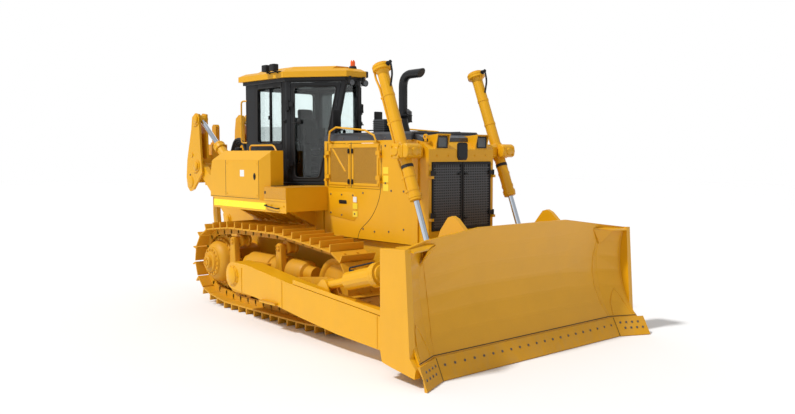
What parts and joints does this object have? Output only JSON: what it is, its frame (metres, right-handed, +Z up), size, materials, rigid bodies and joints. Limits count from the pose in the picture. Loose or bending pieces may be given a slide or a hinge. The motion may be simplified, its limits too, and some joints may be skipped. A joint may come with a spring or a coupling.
{
  "type": "crawler bulldozer",
  "caption": "Crawler dozer with a semi-U blade on push arms and lift cylinders, hexagonal cab with hinged doors, and a parallelogram rear ripper with one shank.",
  "frame": {"origin": "on the ground under the middle of the machine's length and width, blade and ripper included", "axes": "+X forward towards the blade, +Y to the machine's left, +Z up"},
  "size_m": [8.3101, 4.13, 3.8673],
  "materials": {
    "machine_yellow": "satin enamel",
    "track_yellow": "matt enamel, worn at the shoes",
    "cab_charcoal": "satin",
    "black_mesh": "matt",
    "chromed_rod": "polished",
    "cast_iron": "rough",
    "tinted_glass": "lightly tinted",
    "seat_cloth": "woven",
    "beacon_orange": "translucent"
  },
  "bodies": {
    "tractor": {"beacon": "beacon_orange", "cab_roof": "machine_yellow", "cab_shell": "cab_charcoal", "dash_console": "cab_charcoal", "engine_block": "cast_iron", "engine_side_left": "machine_yellow", "engine_side_right": "machine_yellow", "exhaust_stack": "cast_iron", "fender_left": "machine_yellow", "fender_right": "machine_yellow", "glass_front": "tinted_glass", "glass_rear": "tinted_glass", "hood": "machine_yellow", "idler_left": "track_yellow", "idler_right": "track_yellow", "lift_yoke_left": "machine_yellow", "lift_yoke_right": "machine_yellow", "main_frame": "machine_yellow", "operator_seat": "seat_cloth", "radiator_guard": "machine_yellow", "ripper_bracket": "machine_yellow", "sprocket_left": "track_yellow", "sprocket_right": "track_yellow", "tank_left": "machine_yellow", "tank_right": "machine_yellow", "track_frame_left": "track_yellow", "track_frame_right": "track_yellow", "track_left": "track_yellow", "track_right": "track_yellow"},
    "blade": {"moldboard": "machine_yellow", "cutting_edge": "track_yellow", "push_arm_left": "machine_yellow", "push_arm_right": "machine_yellow", "tilt_cylinder": "machine_yellow", "tilt_rod": "chromed_rod", "tilt_brace": "machine_yellow"},
    "ripper_arm": {"ripper_arm": "machine_yellow"},
    "ripper_beam": {"tool_beam": "machine_yellow", "ripper_shank": "track_yellow"},
    "lift_barrel_left": {"lift_barrel_left": "machine_yellow"},
    "lift_rod_left": {"lift_rod_left": "chromed_rod"},
    "engine_door_rear_left": {"engine_door_rear_left": "machine_yellow"},
    "engine_door_front_left": {"engine_door_front_left": "machine_yellow"},
    "grille_door_left": {"grille_door_left": "black_mesh"},
    "pitch_cylinder_left": {"pitch_cylinder_left": "machine_yellow"},
    "ripper_lift_barrel_left": {"ripper_lift_barrel_left": "machine_yellow"},
    "ripper_lift_rod_left": {"ripper_lift_rod_left": "chromed_rod"},
    "cab_door_left": {"cab_door_left": "cab_charcoal", "door_glass_left": "tinted_glass"},
    "lift_barrel_right": {"lift_barrel_right": "machine_yellow"},
    "lift_rod_right": {"lift_rod_right": "chromed_rod"},
    "engine_door_rear_right": {"engine_door_rear_right": "machine_yellow"},
    "engine_door_front_right": {"engine_door_front_right": "machine_yellow"},
    "grille_door_right": {"grille_door_right": "black_mesh"},
    "pitch_cylinder_right": {"pitch_cylinder_right": "machine_yellow"},
    "ripper_lift_barrel_right": {"ripper_lift_barrel_right": "machine_yellow"},
    "ripper_lift_rod_right": {"ripper_lift_rod_right": "chromed_rod"},
    "cab_door_right": {"cab_door_right": "cab_charcoal", "door_glass_right": "tinted_glass"}
  },
  "joints": [
    {"name": "blade_lift", "type": "hinge", "parent": "tractor", "child": "blade", "pos_m": [-0.35, 0, 0.67], "axis": [0, -1, 0], "range_deg": [-6.5, 15.5]},
    {"name": "lift_barrel_swing_left", "type": "hinge", "parent": "tractor", "child": "lift_barrel_left", "pos_m": [2.43, 0.877, 2.476], "axis": [0, -1, 0], "range_deg": [-4.3, 10.2]},
    {"name": "lift_rod_slide_left", "type": "slide", "parent": "lift_barrel_left", "child": "lift_rod_left", "axis": [0.3661, 0, -0.9306], "range_m": [-0.89, 0.375]},
    {"name": "lift_barrel_swing_right", "type": "hinge", "parent": "tractor", "child": "lift_barrel_right", "pos_m": [2.43, -0.877, 2.476], "axis": [0, -1, 0], "range_deg": [-4.3, 10.2]},
    {"name": "lift_rod_slide_right", "type": "slide", "parent": "lift_barrel_right", "child": "lift_rod_right", "axis": [0.3661, 0, -0.9306], "range_m": [-0.89, 0.375]},
    {"name": "ripper_lift", "type": "hinge", "parent": "tractor", "child": "ripper_arm", "pos_m": [-2.5, 0, 1.3], "axis": [0, -1, 0], "range_deg": [0, 58]},
    {"name": "ripper_beam_turn", "type": "hinge", "parent": "ripper_arm", "child": "ripper_beam", "pos_m": [-3.72, 0, 2.22], "axis": [0, -1, 0], "range_deg": [-58, 0]},
    {"name": "pitch_cylinder_swing_left", "type": "hinge", "parent": "tractor", "child": "pitch_cylinder_left", "pos_m": [-2.48, 0.46, 2.16], "axis": [0, -1, 0], "range_deg": [0, 58]},
    {"name": "ripper_lift_swing_left", "type": "hinge", "parent": "tractor", "child": "ripper_lift_barrel_left", "pos_m": [-2.25, 0.235, 1.75], "axis": [0, -1, 0], "range_deg": [0, 48.6]},
    {"name": "ripper_rod_slide_left", "type": "slide", "parent": "ripper_lift_barrel_left", "child": "ripper_lift_rod_left", "axis": [-0.9525, 0, 0.3045], "range_m": [0, 0.44]},
    {"name": "pitch_cylinder_swing_right", "type": "hinge", "parent": "tractor", "child": "pitch_cylinder_right", "pos_m": [-2.48, -0.46, 2.16], "axis": [0, -1, 0], "range_deg": [0, 58]},
    {"name": "ripper_lift_swing_right", "type": "hinge", "parent": "tractor", "child": "ripper_lift_barrel_right", "pos_m": [-2.25, -0.235, 1.75], "axis": [0, -1, 0], "range_deg": [0, 48.6]},
    {"name": "ripper_rod_slide_right", "type": "slide", "parent": "ripper_lift_barrel_right", "child": "ripper_lift_rod_right", "axis": [-0.9525, 0, 0.3045], "range_m": [0, 0.44]},
    {"name": "cab_door_hinge_left", "type": "hinge", "parent": "tractor", "child": "cab_door_left", "pos_m": [-0.4029, 0.7269, 2.9], "axis": [0, 0, 1], "range_deg": [0, 75]},
    {"name": "engine_door_rear_hinge_left", "type": "hinge", "parent": "tractor", "child": "engine_door_rear_left", "pos_m": [0.47, 0.655, 2.27], "axis": [0, 0, 1], "range_deg": [0, 85]},
    {"name": "engine_door_front_hinge_left", "type": "hinge", "parent": "tractor", "child": "engine_door_front_left", "pos_m": [1.69, 0.655, 2.27], "axis": [0, 0, -1], "range_deg": [0, 95]},
    {"name": "grille_door_hinge_left", "type": "hinge", "parent": "tractor", "child": "grille_door_left", "pos_m": [2.63, 0.574, 1.9], "axis": [0, 0, -1], "range_deg": [-100, 0]},
    {"name": "cab_door_hinge_right", "type": "hinge", "parent": "tractor", "child": "cab_door_right", "pos_m": [-0.4029, -0.7269, 2.9], "axis": [0, 0, -1], "range_deg": [0, 75]},
    {"name": "engine_door_rear_hinge_right", "type": "hinge", "parent": "tractor", "child": "engine_door_rear_right", "pos_m": [0.47, -0.655, 2.27], "axis": [0, 0, -1], "range_deg": [0, 85]},
    {"name": "engine_door_front_hinge_right", "type": "hinge", "parent": "tractor", "child": "engine_door_front_right", "pos_m": [1.69, -0.655, 2.27], "axis": [0, 0, 1], "range_deg": [0, 95]},
    {"name": "grille_door_hinge_right", "type": "hinge", "parent": "tractor", "child": "grille_door_right", "pos_m": [2.63, -0.574, 1.9], "axis": [0, 0, 1], "range_deg": [-100, 0]}
  ],
  "couplings": [
    {"joint": "lift_barrel_swing_left", "follows": "blade_lift", "ratio": 0.655},
    {"joint": "lift_rod_slide_left", "follows": "blade_lift", "m_per_rad": -3.28},
    {"joint": "lift_barrel_swing_right", "follows": "blade_lift", "ratio": 0.655},
    {"joint": "lift_rod_slide_right", "follows": "blade_lift", "m_per_rad": -3.28},
    {"joint": "ripper_beam_turn", "follows": "ripper_lift", "ratio": -1},
    {"joint": "pitch_cylinder_swing_left", "follows": "ripper_lift", "ratio": 1},
    {"joint": "ripper_lift_swing_left", "follows": "ripper_lift", "ratio": 0.836},
    {"joint": "ripper_rod_slide_left", "follows": "ripper_lift", "m_per_rad": 0.433},
    {"joint": "pitch_cylinder_swing_right", "follows": "ripper_lift", "ratio": 1},
    {"joint": "ripper_lift_swing_right", "follows": "ripper_lift", "ratio": 0.836},
    {"joint": "ripper_rod_slide_right", "follows": "ripper_lift", "m_per_rad": 0.433}
  ]
}
